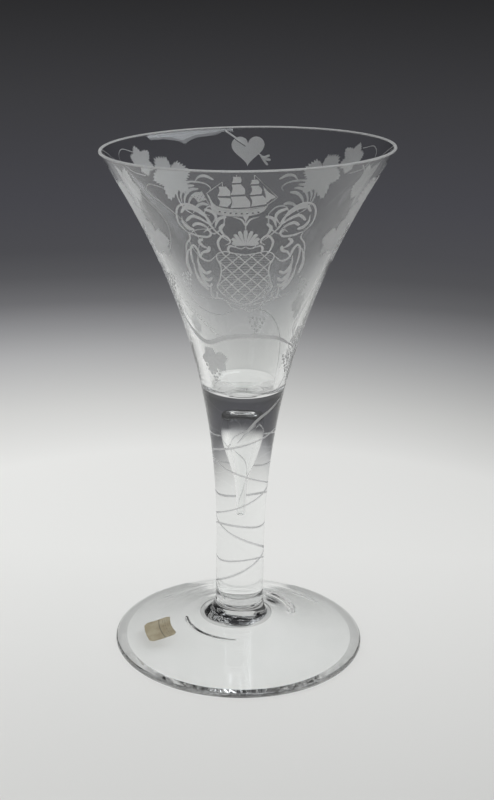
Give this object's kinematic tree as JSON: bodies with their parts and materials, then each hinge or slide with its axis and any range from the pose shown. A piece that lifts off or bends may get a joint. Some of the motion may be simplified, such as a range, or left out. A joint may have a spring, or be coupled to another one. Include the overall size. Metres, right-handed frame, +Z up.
{
  "type": "trumpet wine glass",
  "caption": "Tall drinking glass with a trumpet bowl drawn into a thick stem that holds a long air tear, on a high conical foot with a paper label.",
  "frame": {"origin": "centre of the foot on the plane that the glass stands on", "axes": "+Z up along the axis of the glass; -Y faces the camera of the picture, +X is to its right"},
  "size_m": [0.11, 0.11, 0.2034],
  "materials": {
    "glass": "clear, faintly grey lead glass, fire-polished, with wheel-engraved frosted ornament on bowl and stem",
    "paper": "matt aged cream paper"
  },
  "bodies": {
    "root": {"bowl": "glass", "stem": "glass", "foot": "glass", "pontil_scar": "glass", "paper_label": "paper"}
  },
  "joints": []
}
